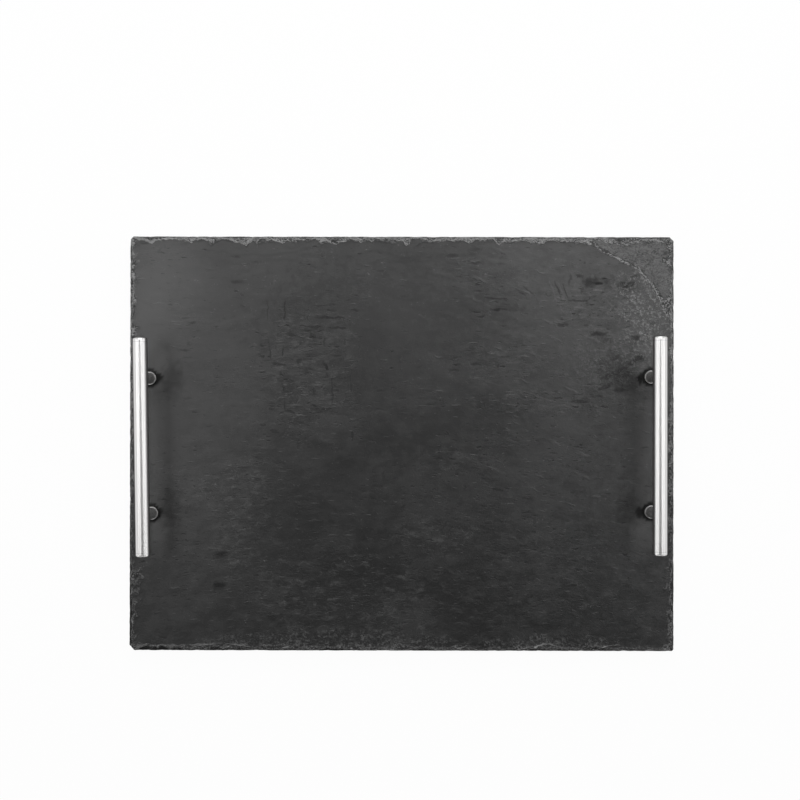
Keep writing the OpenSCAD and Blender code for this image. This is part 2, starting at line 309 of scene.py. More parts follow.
def spread_border(grid, border):
    """Moves the grid's edge points onto the border loop, and eases the points near them along."""
    columns, rows = grid.shape[:2]
    goal = np.full_like(grid, np.nan)
    goal[:, 0] = border[: columns]
    goal[-1, :] = border[columns - 1: columns + rows - 1]
    goal[::-1, -1] = border[columns + rows - 2: 2 * columns + rows - 2]
    goal[0, ::-1] = np.concatenate([border[2 * columns + rows - 3:], border[:1]])
    x, y = grid[:, 0, 0], grid[0, :, 1]
    wl, wr = fade_in(x - x[0])[:, None, None], fade_in(x[-1] - x)[:, None, None]
    wf, wb = fade_in(y - y[0])[None, :, None], fade_in(y[-1] - y)[None, :, None]
    dl, dr = (goal[0] - grid[0])[None], (goal[-1] - grid[-1])[None]
    df, db = (goal[:, 0] - grid[:, 0])[:, None], (goal[:, -1] - grid[:, -1])[:, None]
    shift = dl * wl + dr * wr + df * wf + db * wb
    for i, wx in ((0, wl), (-1, wr)):
        for j, wy in ((0, wf), (-1, wb)):
            shift -= (goal[i, j] - grid[i, j]) * wx * wy
    return grid + shift


def border_walk(columns, rows):
    """Grid indices once round the border, anticlockwise from the front left corner."""
    front = [(i, 0) for i in range(columns - 1)]
    right = [(columns - 1, j) for j in range(rows - 1)]
    rear = [(i, rows - 1) for i in range(columns - 1, 0, -1)]
    left = [(0, j) for j in range(rows - 1, 0, -1)]
    return front + right + rear + left


def face_grid(index, between, flip):
    """Quads of a grid of vertex indices. Border quads take in the loop points between corners."""
    columns, rows = index.shape
    faces = []
    for i in range(columns - 1):
        for j in range(rows - 1):
            cell = ((i, j), (i + 1, j), (i + 1, j + 1), (i, j + 1))
            face = []
            for a, b in zip(cell, cell[1:] + cell[:1]):
                face.append(int(index[a]))
                face.extend(between.get((a, b), ()))
            faces.append(face[::-1] if flip else face)
    return faces


def freshness(points, top_count):
    """How freshly broken each point is: chalky near the edges, smoother on the broken corner."""
    x, y, z = points.T
    fresh = 0.45 + 0.45 * smoothstep(BOTTOM, TOP - 1, z)
    x, y = x[:top_count], y[:top_count]
    border = np.minimum((HALF_X - np.abs(x)) / 1.4, HALF_Y - np.abs(y))
    reach = border + 4 * fractal(x / 7, y / 7, 700, 3) + 3 * fractal(x / 25, y / 25, 705, 2)
    near_edge = 1 - smoothstep(1.5, 5.2, reach)
    offset = flake_offset(x, y) + 1.2 * fractal(x / 7, y / 7, 61, 3)
    band = 6.5 + 6 * fractal(x / 12, y / 12, 710, 3)
    core = smoothstep(-0.4, 0.2, offset) * (1 - smoothstep(0.9, 2, offset))
    line = smoothstep(-0.3, 0.3, offset) * (1 - smoothstep(1, band, offset))
    fresh[:top_count] = np.maximum.reduce([
        0.85 * near_edge, 0.5 * smoothstep(0, 1, offset), 0.76 * line, 1.0 * core,
    ])
    return fresh


# Painted shadows of the posts and bars on the slate, beside each post on its inner side, and dark
# smudges elsewhere: X and Y of the middle, half size in X and Y, and strength
POST_SHADOWS_AND_SMUDGES = (
    (-164, 46, 10, 16, 0.3), (-172, 47, 3.5, 4.5, 0.9), (-165, -46, 9, 20, 0.35),
    (-171.5, -49, 3, 3.5, 0.6), (160, 44, 13, 12, 0.35), (169.5, 47, 3.5, 5, 0.9),
    (162, -46, 11, 16, 0.3), (169.5, -49, 4, 6, 0.8), (-130, -79, 6, 3.2, 0.45),
    (-130, -101, 6.5, 3.8, 0.5), (170, 61, 6.5, 3.8, 0.5), (133.5, 115, 7, 4.5, 0.4),
    (159, 113, 6.5, 2.8, 0.35), (139, 79, 6.5, 2.2, 0.3), (167, 76, 4, 3, 0.35),
)
# Rings of painted contact shadow round each seat washer: radius and width
SHADOW_RING_RADIUS = 5.6
SHADOW_RING_WIDTH = 1.7


def rim_shade(points, first_rim_point):
    """Painted shade on the lowest part of the edge, up to 1 at the front, which faces away from the
    lamps; on the top face, painted shadows beside the posts, rings of painted contact shadow round the
    seat washers, and dark smudges.
    """
    shade = 0.3 + 0.7 * smoothstep(40, -20, points[:, 1])
    x, y = points[:first_rim_point, 0], points[:first_rim_point, 1]
    shadows_and_smudges = np.zeros_like(x)
    for middle_x, middle_y, half_x, half_y, strength in POST_SHADOWS_AND_SMUDGES:
        distance = np.hypot((x - middle_x) / half_x, (y - middle_y) / half_y)
        distance += 0.5 * fractal(x / 4, y / 4, 730, 3)
        shadows_and_smudges = np.maximum(shadows_and_smudges, strength * (1 - smoothstep(0.3, 1.1, distance)))
    for spot in middles("seat_washer"):
        off_ring = np.abs(np.hypot(x - spot[0], y - spot[1]) - SHADOW_RING_RADIUS) / SHADOW_RING_WIDTH
        shadows_and_smudges = np.maximum(shadows_and_smudges, 0.9 * (1 - smoothstep(0.4, 1, off_ring)))
    shade[:first_rim_point] = shadows_and_smudges * (points[:first_rim_point, 2] > TOP - 1)
    return shade


def add_values(mesh, name, values):
    """Stores one number for each vertex, for the material to read."""
    attribute = mesh.attributes.new(name, "FLOAT", "POINT")
    attribute.data.foreach_set("value", values.astype(np.float32))


def edge_loops(fine, spots):
    """Points of the hewn edge, in one loop for each level, from the top edge to the underside."""
    rings = edge_rings(fine)
    loops = []
    for level, (inset, share) in enumerate(rings):
        xy = ring(fine, inset)
        sag = -np.minimum(top_relief(xy[:, 0], xy[:, 1], spots), 0) * (1 - share)
        wave = LAMINA_WAVE * gradient_noise(xy[:, 0] / 19, xy[:, 1] / 19, 500 + level // 2)
        if level in (0, len(rings) - 1):
            wave = 0
        z = TOP - share * THICKNESS - sag + wave * min(share, 1 - share) * 4
        loops.append(np.column_stack([xy, np.maximum(z, BOTTOM)]))
    return loops


def top_points(grid, border, spots):
    """Points of the riven top face."""
    top = spread_border(grid, border[0::2, :2])
    return np.dstack([top, TOP + top_relief(top[..., 0], top[..., 1], spots)])


def under_points(grid, border, spots):
    """Points of the riven underside, on a wider grid and flat by the screws and the feet."""
    every = UNDERSIDE_EVERY
    under = spread_border(grid[::every, ::every], border[0::2 * every, :2])
    x, y = under[..., 0], under[..., 1]
    rise = np.clip(UNDERSIDE_RISE + cleavage(x, y, 41), 0, None)
    return np.dstack([under, BOTTOM + rise * flat_near(x, y, spots + middles("foot"))])


def points_between(walk, loop, step):
    """The loop's vertices that lie between neighbouring grid vertices of a border walk."""
    return {
        (cell, walk[(k + 1) % len(walk)]): [int(v) for v in loop[step * k + 1: step * (k + 1)]]
        for k, cell in enumerate(walk)
    }


def wall_faces(loops):
    """Quads between neighbouring loops of the edge."""
    faces = []
    for upper, lower in zip(loops, loops[1:]):
        quads = np.stack([lower, np.roll(lower, -1), np.roll(upper, -1), upper], 1)
        faces += quads.tolist()
    return faces


def join_surfaces(top, loops, under):
    """One closed surface from the top grid, the loops of the edge and the underside's grid.

    Gives its points, its faces, and the first points of the lowest part of the edge, where shade is
    painted, and of the underside."""
    # The first loop runs through the top grid's border, with a point of its own between each two
    top_count = top.shape[0] * top.shape[1]
    top_index = np.arange(top_count).reshape(top.shape[:2])
    top_walk = border_walk(*top.shape[:2])
    count = len(loops[0])
    start = top_count + count // 2
    first_loop = np.empty(count, int)
    first_loop[0::2] = [top_index[cell] for cell in top_walk]
    first_loop[1::2] = np.arange(top_count, start)
    loop_index = [first_loop]
    for _ in loops[1:]:
        loop_index.append(np.arange(start, start + count))
        start += count

    # The underside's border uses the last loop's points
    under_index = np.full(under.shape[:2], -1)
    under_walk = border_walk(*under.shape[:2])
    step = 2 * UNDERSIDE_EVERY
    for k, cell in enumerate(under_walk):
        under_index[cell] = loop_index[-1][step * k]
    inner = under_index == -1
    under_index[inner] = start + np.arange(inner.sum())

    points = np.concatenate([top.reshape(-1, 3), loops[0][1::2], *loops[1:], under[inner]])
    faces = face_grid(top_index, points_between(top_walk, first_loop, 2), False)
    faces += face_grid(under_index, points_between(under_walk, loop_index[-1], step), True)
    return points, faces + wall_faces(loop_index), loop_index[-SHADED_RIM_LOOPS][0], start


def build_slate():
    """The board as one closed mesh: top face, layered edge and underside."""
    lines_x = grid_lines(HALF_X - TOP_INSET, FINE_FROM_X)
    lines_y = grid_lines(HALF_Y - TOP_INSET, FINE_FROM_Y)
    walk = border_walk(len(lines_x), len(lines_y))
    square = np.array([(lines_x[i] / lines_x[-1], lines_y[j] / lines_y[-1]) for i, j in walk])
    fine = np.empty((2 * len(square), 2))
    fine[0::2], fine[1::2] = square, (square + np.roll(square, -1, axis=0)) / 2
    grid = np.stack(np.meshgrid(lines_x, lines_y, indexing="ij"), axis=-1)
    spots = middles("seat_washer")
    loops = edge_loops(fine, spots)
    top = top_points(grid, loops[0], spots)
    under = under_points(grid, loops[-1], spots)
    points, faces, rim_start, under_start = join_surfaces(top, loops, under)

    mesh = bpy.data.meshes.new("slate_riven")
    mesh.from_pydata((points * MM).tolist(), [], faces)
    fresh = freshness(points, top.shape[0] * top.shape[1])
    # Painted shade on the lowest part of the edge and beside the posts, with dark smudges
    rim = rim_shade(points, rim_start)
    fresh[under_start:] = rim[under_start:] = 0
    add_values(mesh, "fresh", fresh)
    add_values(mesh, "rim", rim)
    mesh.update()
    mesh.shade_smooth()
    mesh.set_sharp_from_angle(angle=math.radians(SHARP_ANGLE))
    slate = bpy.data.objects.new("slate_riven", mesh)
    bpy.context.scene.collection.objects.link(slate)
    return slate


# Materials

def operator(name, swapped=False):
    """One of the operators of Field. It adds a maths node."""
    def apply(field, other):
        return field.nodes.math(name, *((other, field) if swapped else (field, other)))
    return apply


class Field:
    """A number that varies over a surface. Sums and products of fields add nodes for them."""

    def __init__(self, nodes, socket):
        self.nodes, self.socket = nodes, socket

    __add__, __radd__ = operator("ADD"), operator("ADD", swapped=True)
    __sub__, __rsub__ = operator("SUBTRACT"), operator("SUBTRACT", swapped=True)
    __mul__, __truediv__, __pow__ = operator("MULTIPLY"), operator("DIVIDE"), operator("POWER")


class Nodes:
    """A material under construction: each call adds a node, or a few."""

    def __init__(self, name):
        self.material = bpy.data.materials.new(name)
        self.material.use_nodes = True
        self.tree = self.material.node_tree
        self.tree.nodes.clear()
        self.output = self.tree.nodes.new("ShaderNodeOutputMaterial")
        self.shader = self.tree.nodes.new("ShaderNodeBsdfPrincipled")
        self.feed(self.output.inputs["Surface"], self.shader.outputs["BSDF"])

    def feed(self, socket, value):
        """Links a field or an output to an input, or sets a fixed value there."""
        if isinstance(value, Field):
            value = value.socket
        if isinstance(value, bpy.types.NodeSocket):
            self.tree.links.new(value, socket)
        else:
            socket.default_value = value

    def shade(self, name, value):
        """Feeds one input of the main shader."""
        self.feed(self.shader.inputs[name], value)

    def add(self, kind, inputs=None, **settings):
        """A shader node with its settings, and its inputs fed."""
        node = self.tree.nodes.new("ShaderNode" + kind)
        for key, value in settings.items():
            setattr(node, key, value)
        for key, value in (inputs or {}).items():
            self.feed(node.inputs[key], value)
        return node

    def field(self, node, name):
        """One of a node's outputs, ready for sums and products."""
        return Field(self, node.outputs[name])

    def place(self, scale=(1, 1, 1)):
        """Object coordinates in metres, scaled."""
        coordinates = self.add("TexCoord").outputs["Object"]
        return self.add("Mapping", {"Vector": coordinates, "Scale": scale}).outputs[0]

    def noise(self, vector, scale, detail=3, roughness=0.5, distortion=0):
        """Noise from 0 to 1, with so many bumps in a metre."""
        node = self.add("TexNoise", {
            "Vector": vector, "Scale": scale, "Detail": detail,
            "Roughness": roughness, "Distortion": distortion,
        })
        return self.field(node, "Fac")

    def math(self, operation, a, b=0, clamp=False):
        """One step of arithmetic on numbers or fields."""
        node = self.add("Math", {0: a, 1: b}, operation=operation, use_clamp=clamp)
        return self.field(node, 0)

    def most(self, a, b):
        """The greater of two fields."""
        return self.math("MAXIMUM", a, b)

    def ramp(self, value, low, high, to_low=0, to_high=1):
        """A smooth step from one level to another while the value goes from low to high."""
        node = self.add("MapRange", {
            "Value": value, "From Min": low, "From Max": high, "To Min": to_low, "To Max": to_high,
        }, interpolation_type="SMOOTHSTEP")
        return self.field(node, "Result")

    def vector(self, operation, a, b):
        """One step of arithmetic on vectors."""
        return self.add("VectorMath", {0: a, 1: b}, operation=operation).outputs["Vector"]

    def stretch(self, vector, scale):
        """The vector, multiplied by its own factor along each axis."""
        return self.vector("MULTIPLY", vector, scale)

    def dot(self, vector, direction, unit):
        """How far a vector reaches in a direction of the XY plane, in units of so many millimetres."""
        scaled = (direction[0] / (unit * MM), direction[1] / (unit * MM), 0)
        node = self.add("VectorMath", {0: vector, 1: scaled}, operation="DOT_PRODUCT")
        return self.field(node, "Value")

    def mix(self, share, a, b):
        """Colour a, with a share of colour b."""
        node = self.add("Mix", data_type="RGBA")
        for name, value in (("Factor", share), ("A", a), ("B", b)):
            self.feed(next(s for s in node.inputs if s.name == name and s.enabled), value)
        return next(s for s in node.outputs if s.enabled)

    def bump(self, height, strength=1.0, distance=MM):
        """Relief for the shader. A height of 1 is as high as the distance."""
        node = self.add("Bump", {"Strength": strength, "Distance": distance, "Height": height})
        self.shade("Normal", node.outputs[0])


def grey(value, warmth=0.0):
    """A grey colour, a little redder where it is warm."""
    return (value * (1 + warmth), value, value * (1 - warmth), 1)


SLATE_DARK = 0.0115
SLATE_LIGHT = 0.022
# Colour of painted shade on the lowest part of the edge, beside the posts and in pits of the breaks, and
# of dark smudges
SLATE_SHADE_AND_SMUDGE = 0.006
FRESH_DARK = 0.058
FRESH_LIGHT = 0.098
CHALK_DARK = 0.014
CHALK_LIGHT = 0.21
# Chalk at the front edge is darker: painted shade, for the front faces away from the lamps
FRONT_SHADED_CHALK = 0.16

# Marks on the top face: X and Y of the middle, half size in X and Y, all in millimetres, and strength.
# Rough patches have many ledges and pits. Stains are darker; the three widest and faintest of them are
# painted shade, where the board lies darker because of how the light falls. Scuffs are lighter.
ROUGH_PATCHES = (
    (-68, 52, 34, 52, 0.9), (152, 100, 42, 26, 1), (158, 52, 24, 20, 0.9), (32, -12, 22, 12, 0.7),
    (24, -66, 30, 12, 0.9), (-118, -76, 18, 16, 0.8), (70, 60, 44, 16, 0.6), (110, 30, 60, 10, 0.8),
    (-40, -110, 70, 34, 1), (95, -95, 70, 40, 0.5), (-130, -35, 30, 14, 0.6),
    (170, 118, 20, 24, 1), (-112, -45, 24, 36, 0.9),
)
STAINS_AND_SHADE = (
    (155, 54, 15, 10, 0.6), (136, 115, 5, 4, 0.8), (143, 115, 4, 3, 0.6), (160, 112, 8, 4, 0.7),
    (77, 97, 8, 3, 0.6), (144, 75, 7, 2.5, 0.6), (22, -72, 24, 7, 0.6), (-118, -77, 10, 5, 0.5),
    (70, -33, 6, 4, 0.6), (-30, 44, 12, 8, 0.4), (150, -90, 40, 60, 0.25), (60, -60, 60, 22, 0.2),
    (-10, 92, 80, 34, 0.3),
)
SCUFFS = (
    (32, -13, 12, 7, 0.8), (-2, -62, 9, 7, 0.5), (166, 70, 10, 14, 0.5), (-136, -22, 8, 4, 0.4),
    (62, -42, 8, 4, 0.5), (-6, 20, 5, 4, 0.4),
)
# Single ledges and scratches, listed one by one: X and Y of the start and of the end, half width and
# strength
# These strokes are dark in colour only, with no relief: on the ledges that darkness is painted shade, on
# the scratches their own colour.
DARK_STROKES = (
    (-95.9, 100.8, -95.9, 87.8, 0.8, 0.6), (-83.6, 102, -83.6, 86.6, 0.9, 0.9),
    (-64.1, 98.4, -53.5, 98.4, 0.7, 0.6), (-64.1, 90.1, -39.3, 89.6, 0.9, 0.9),
    (-74.7, 84.2, -53.5, 82.5, 0.9, 0.8), (-53.5, 83.1, -39.3, 81.9, 1.1, 0.9),
    (-81.8, 78.3, -72.3, 76, 1.2, 0.7), (-94.8, 73.6, -93.6, 58.2, 0.9, 0.7),
    (-84.7, 72.4, -85.3, 59.4, 0.9, 0.7), (-93.6, 57, -81.8, 56.5, 1.1, 0.8),
    (-56.4, 58.2, -51.1, 51.1, 1.4, 1.1), (-49.6, 51.1, -49.6, 24, 0.8, 0.7),
    (-62.3, 24.5, -49.3, 24.5, 1.1, 1), (-36.4, 54.7, -36.4, 33.4, 0.8, 0.7),
    (-83.6, 32.2, -83.6, 22.8, 0.9, 0.9), (-84.1, 22.8, -74.7, 22.2, 1.1, 0.9),
    (-95.9, 24.5, -90, 24.5, 1.1, 1), (-84.1, 44.6, -75.9, 44.6, 1.1, 0.9),
    (-93.6, 9.8, -87.7, 7.4, 1.8, 0.8), (-35.2, 8.6, -35.2, 1.5, 1.2, 0.8),
    (58.7, 104.3, 75.3, 103.1, 0.9, 0.9), (61.1, 96.1, 80, 95.5, 0.9, 0.8),
    (65.8, 96.1, 70.5, 95.8, 1.6, 1.3), (80, 111.4, 88.3, 105.5, 0.9, 1),
    (86, 112.6, 94.2, 106.1, 0.7, 0.8), (108.5, 116.1, 114.4, 102, 0.8, 0.8),
    (114.4, 113.8, 119.1, 100.8, 0.7, 0.8), (113.8, 102.6, 131, 102, 0.8, 0.9),
    (155.9, 110.2, 166.5, 115, 2.2, 1.2), (135.7, 78.3, 146.4, 78.9, 1.9, 1),
    (110.8, 84.8, 119.1, 84.8, 1.5, 1), (163, 77.1, 171.3, 73.6, 2, 0.9),
    (161.8, 55.9, 171.3, 63, 2.7, 1.2), (145.2, 58.2, 158.2, 65.3, 1.8, 0.8),
    (141.6, 46.4, 160.6, 54.7, 1.9, 0.9), (121.5, 30.5, 133.4, 29.9, 1.4, 0.9),
    (139.3, 38.1, 151.1, 44, 1.6, 0.9), (63.4, -31.5, 72.9, -33.8, 1.2, 1.2),
    (57.5, -62.9, 64.6, -64.1, 1.2, 0.8), (45.7, -87.8, 57.5, -88.9, 1.1, 0.8),
    (-131.3, -79.5, -123.1, -78.3, 2.4, 1), (-133.7, -100.8, -125.4, -100.8, 2.4, 1),
    (-117.2, -16.7, -106.6, -17.2, 1.1, 0.9), (-108.9, -24.9, -98.3, -26.1, 1.1, 0.9),
    (-79.4, -39.2, -65.3, -40.4, 1.1, 0.8), (-91.2, -13.1, -81.8, -14.3, 0.9, 0.8),
)
PALE_STROKES = (
    (117.9, 106.1, 140.5, 106.5, 0.78, 1), (104.9, 116.1, 110.8, 100.8, 0.65, 1),
    (111.4, 115, 116.8, 100.8, 0.65, 1), (77.7, 113.2, 87.1, 106.7, 0.65, 1),
    (145.2, 106.7, 164.2, 117.3, 0.78, 1), (51.6, 47.6, 70.5, 41.7, 0.65, 1),
    (84.8, 38.1, 113.2, 28.7, 0.65, 1), (158.2, 98.4, 153.5, 81.9, 0.78, 0.8),
)
# Bright chips on the front edge, in the same form
CHIPS = (
    (93.5, -145.2, 97, -143.4, 0.8, 1), (96, -143.4, 106, -142.5, 0.6, 0.7),
    (104, -142.6, 112, -144, 0.5, 0.6), (141, -145.6, 147, -143.5, 0.7, 0.9),
    (147, -143.5, 155, -143, 0.5, 0.6), (-188, -144.6, -156, -143.6, 0.6, 0.3),
    (-160, -143.6, -128, -142.4, 0.6, 0.38), (-126, -142.2, -108, -144.4, 0.6, 0.4),
    (-86, -146, -80, -144, 0.6, 0.6), (40, -145.5, 47, -144, 0.6, 0.6),
)
# Places where the layers lie across the board, and places with a fine grain
CROSSED = ((-68, 55, 34, 48, 1), (130, 105, 30, 22, 0.8), (20, -20, 40, 40, 0.4))
GRAINY = (
    (180, 98, 26, 30, 1), (163, 112, 12, 12, 0.9), (170, 72, 16, 20, 0.7),
    (-50, -142, 80, 9, 0.55), (100, -143, 56, 7, 0.6), (-130, -30, 34, 10, 0.1),
    (-120, -76, 24, 18, 0.1), (24, -66, 30, 12, 0.12), (150, 58, 30, 22, 0.3),
)
# Painted light: paler places where the lamps' sheen falls, most at the rear corners and along both ends
# of the board, and bands beside the bars
PAINTED_LIGHT_PLACES = (
    (-180, 104, 42, 70, 0.75), (180, 96, 34, 50, 0.6), (-172, 56, 9, 20, 1),
    (-172, 0, 9, 52, 0.5), (-172, -60, 9, 20, 0.9), (171, 60, 9, 20, 0.9), (171, 0, 8, 52, 0.4),
    (171, -60, 9, 20, 0.9), (-140, -15, 52, 120, 0.3), (114, 84, 46, 60, 0.3),
    (112, -25, 44, 50, 0.08), (-15, -128, 60, 26, 0.14),
)

# How far noise moves the edges of dashes and strokes, in metres for a noise of 1
DASH_JITTER = (0.007, 0.003, 0)
STROKE_JITTER = (0.003, 0.003, 0)

# Half length of a stroke's ellipse, as a share of the line's length
STROKE_REACH = 0.6

# Distances at which a mark begins and is full, where 1 is its outline
MARK_SOFT = (1.3, 0.5)
PAINTED_LIGHT_SOFT = (1.5, 0.1)
STROKE_SOFT = (1.1, 0.1)
DASH_SOFT = (1, 0.15)

# Grids of dashes: stretch, cells in a metre and shift
ALONG = ((1, 3.6, 1), 58, (0, 0, 0))
SHORT = ((1, 3, 1), 150, (3.1, 7.7, 0))
ACROSS = ((3.2, 1, 1), 50, (5.3, 1.9, 0))
LOW_FLECKS = ((1, 3, 1), 135, (4.4, 2.6, 0))
PALE = ((1, 5, 1), 80, (9.7, 4.3, 0))
STREAKS = ((1, 6, 1), 34, (2.2, 6.1, 0))
STREAK_TURN = math.radians(22)

# Weights of the patterns in the face's tone, which goes from SLATE_DARK to SLATE_LIGHT. The marks' and
# the stains' weights carry painted shade as well.
CLUMP_TONE, MOTTLE_TONE, GRAIN_TONE = 2.4, 1.9, 0.6
MARK_AND_SHADE_TONE, GRIT_TONE, STAIN_AND_SHADE_TONE = 1.3, 2.2, 0.8

# Weights of the pale patterns and of the painted light, as shares of CHALK_LIGHT
PAINTED_LIGHT_SHARE, SCRATCH_LIGHT, GRIT_LIGHT, FLECK_LIGHT = 0.2, 0.08, 0.5, 0.12
SPECK_LIGHT, SCUFF_LIGHT = 0.03, 0.4

# Heights of the patterns in millimetres
LEDGE_RELIEF, MARK_RELIEF, MOTTLE_RELIEF, CLUMP_RELIEF = 0.05, 0.07, 0.04, 0.1
GRAIN_RELIEF, FRONT_GRAIN_RELIEF, GRIT_RELIEF, BREAK_RELIEF = 0.03, 0.025, 0.4, 0.5

SLATE_IOR = 1.57
SLATE_ROUGHNESS = 0.33
SLATE_GLOSS = 0.5


class SlateStone(Nodes):
    """Dark riven slate: cloudy tone, sparse small marks and ledges, chalky fresh breaks.

    The steps stay in this order, and their nodes too: Cycles keeps the values that wait for
    later nodes in a small store, and a slate that overfills it turns black."""

    def __init__(self):
        super().__init__("slate_stone")
        self.find_places()
        self.find_zones()
        self.scatter_dashes()
        self.grow_grain()
        self.shade("Base Color", self.broken_colour(self.face_colour()))
        self.set_gloss()
        self.raise_relief()

    def mark(self, x, y, half_x, half_y, strength, uneven, soft):
        """A soft ellipse, with its edge moved by uneven noise."""
        offset = self.vector("SUBTRACT", self.plain, (x * MM, y * MM, 0))
        offset = self.stretch(offset, (1 / (half_x * MM), 1 / (half_y * MM), 0))
        distance = self.field(self.add("VectorMath", {0: offset}, operation="LENGTH"), "Value")
        return self.ramp(distance + uneven, *soft, 0, strength)

    def marks(self, places, uneven, soft=MARK_SOFT):
        """The strongest of some marks at each point."""
        return functools.reduce(self.most, (self.mark(*place, uneven, soft) for place in places))

    def stroke(self, x, y, end_x, end_y, half_width, strength):
        """A soft short line with torn edges."""
        run, rise = end_x - x, end_y - y
        length = math.hypot(run, rise)
        middle = ((x + end_x) / 2 * MM, (y + end_y) / 2 * MM, 0)
        offset = self.vector("SUBTRACT", self.stroke_place, middle)
        along = self.dot(offset, (run / length, rise / length), STROKE_REACH * length)
        aside = self.dot(offset, (-rise / length, run / length), half_width)
        return self.ramp(along ** 2 + aside ** 2 + self.torn_lines, *STROKE_SOFT, 0, strength)

    def strokes(self, lines):
        """The strongest of some strokes at each point."""
        return functools.reduce(self.most, (self.stroke(*line) for line in lines))

    def dashes(self, position, grid, density):
        """Sparse short marks: a soft ellipse in some cells of a stretched grid."""
        stretch, scale, shift = grid
        place = self.vector("ADD", self.stretch(position, stretch), shift)
        cells = self.add("TexVoronoi", {"Vector": place, "Scale": scale}, voronoi_dimensions="2D")
        chance = self.add("SeparateColor", {"Color": cells.outputs["Color"]})
        size = 0.12 + self.field(chance, "Green") ** 2 * 0.28
        body = self.ramp(self.field(cells, "Distance") / size, *DASH_SOFT)
        strength = 0.4 + self.field(chance, "Blue") * 0.6
        chosen = self.math("LESS_THAN", chance.outputs["Red"], density)
        return body * strength * chosen

    def find_places(self):
        """Object coordinates, plain and ragged, and soft halves of the board."""
        self.plain = self.place()
        jitter = self.add("TexNoise", {"Vector": self.plain, "Scale": 240, "Detail": 3}).outputs["Color"]
        jitter = self.vector("SUBTRACT", jitter, (0.5, 0.5, 0.5))
        self.ragged = self.vector("ADD", self.plain, self.stretch(jitter, DASH_JITTER))
        self.stroke_place = self.vector("ADD", self.plain, self.stretch(jitter, STROKE_JITTER))
        split = self.add("SeparateXYZ", {"Vector": self.plain})
        self.y = split.outputs["Y"]
        self.right = self.ramp(split.outputs["X"], 0, 0.1)
        self.front = self.ramp(self.y, 0.06, -0.08)

    def find_zones(self):
        """Where the face is rough, stained or grainy, where shade is painted with the stains, and where
        light is painted.
        """
        self.cloud = self.noise(self.plain, 15, 5, 0.62, 0.3)
        self.patch = self.noise(self.plain, 26, 3, 0.55, 0.6)
        uneven = (self.noise(self.plain, 90, 4, 0.6) - 0.5) * 2.2
        self.rough = self.marks(ROUGH_PATCHES, uneven)
        self.torn = (self.noise(self.plain, 170, 4, 0.65) - 0.5) * 4.5
        self.stain_and_shade = self.marks(STAINS_AND_SHADE, self.torn)
        self.scuff = self.marks(SCUFFS, uneven)
        self.crossed = self.marks(CROSSED, uneven)
        self.grainy = self.marks(GRAINY, uneven)
        self.painted_light = self.marks(PAINTED_LIGHT_PLACES, uneven * 0.15, PAINTED_LIGHT_SOFT)
        self.busy = self.most(self.ramp(self.patch, 0.5, 0.7, 0, 0.7), self.rough)

    def scatter_dashes(self):
        """Dark and pale marks of a few millimetres, denser where the face is busy. The dark ones are
        small dents, also darkened in colour: partly their own colour, partly painted shade.
        """
        place, busy = self.ragged, self.busy
        along = self.dashes(place, ALONG, 0.15 + busy * 0.5)
        short = self.dashes(place, SHORT, 0.1 + busy * 0.35)
        across = self.dashes(place, ACROSS, self.crossed * 0.75)
        low_flecks = self.dashes(place, LOW_FLECKS, 0.05 + self.front * 0.4)
        pale = self.dashes(place, PALE, self.front * 0.15 + (0.08 + busy * 0.3))
        self.turned = self.add("VectorRotate", {"Vector": place, "Angle": STREAK_TURN},
                               rotation_type="Z_AXIS").outputs[0]
        streaks = self.dashes(self.turned, STREAKS, self.right * 0.3)
        dark = self.most(along, short * 0.8)
        dark = dark * (0.45 + (busy * 0.6 + self.right * 0.25 + self.crossed * 0.4))
        dark = self.most(dark, across * 0.8)
        low_flecks = low_flecks * self.ramp(self.patch, 0.4, 0.6, 0.4, 1.1)
        low_flecks = low_flecks * self.ramp(self.right, 0, 1, 1, 0.6)
        self.dark_marks = self.most(dark, low_flecks)
        self.pale_marks = self.most(pale, streaks * 0.8)

    def grow_grain(self):
        """The finer patterns, from ledges and clumps of a centimetre to single grains."""
        small = self.noise(self.stretch(self.ragged, (1, 3, 1)), 62, 3, 0.5)
        self.small_ledges = self.math("FRACT", small * 8)
        self.blots = self.ramp(self.noise(self.plain, 110, 4, 0.62, 0.4), 0.56, 0.7) * self.busy
        self.grains = self.noise(self.plain, 560, 3, 0.7)
        self.sandy = self.grainy * self.ramp(self.noise(self.plain, 70, 4, 0.6), 0.32, 0.58, 0.55, 1)
        self.grain = self.noise(self.place(scale=(1, 2, 1)), 520, 4, 0.65)
        self.speck = self.ramp(self.noise(self.plain, 900, 2, 0.6), 0.66, 0.76)
        self.mottle = self.noise(self.stretch(self.ragged, (1, 1.7, 1)), 160, 4, 0.62)
        away = self.most(self.ramp(self.y, 0.08, 0.01), self.most(self.right, self.busy))
        self.mottled = 0.3 + (away + self.rough * 0.8)
        clumps = self.noise(self.stretch(self.ragged, (1, 1.6, 1)), 75, 3, 0.6)
        self.clumps = (clumps - 0.5) * self.mottled

    def face_colour(self):
        """Colour of the riven face, away from fresh breaks, with painted light and painted shade in it.
        """
        tone = self.ramp(self.cloud, 0.3, 0.7) + self.clumps * CLUMP_TONE
        tone += (self.mottle - 0.5) * (self.mottled * MOTTLE_TONE)
        tone += (self.grain - 0.5) * GRAIN_TONE
        self.torn_lines = self.torn * 0.65
        # Dark marks and strokes, partly painted shade of small dents and ledges
        self.dark_marks_and_shade = self.most(self.dark_marks, self.strokes(DARK_STROKES))
        tone -= self.dark_marks_and_shade * MARK_AND_SHADE_TONE
        tone -= self.blots
        tone -= self.sandy * self.ramp(self.grains, 0.5, 0.36, 0, GRIT_TONE)
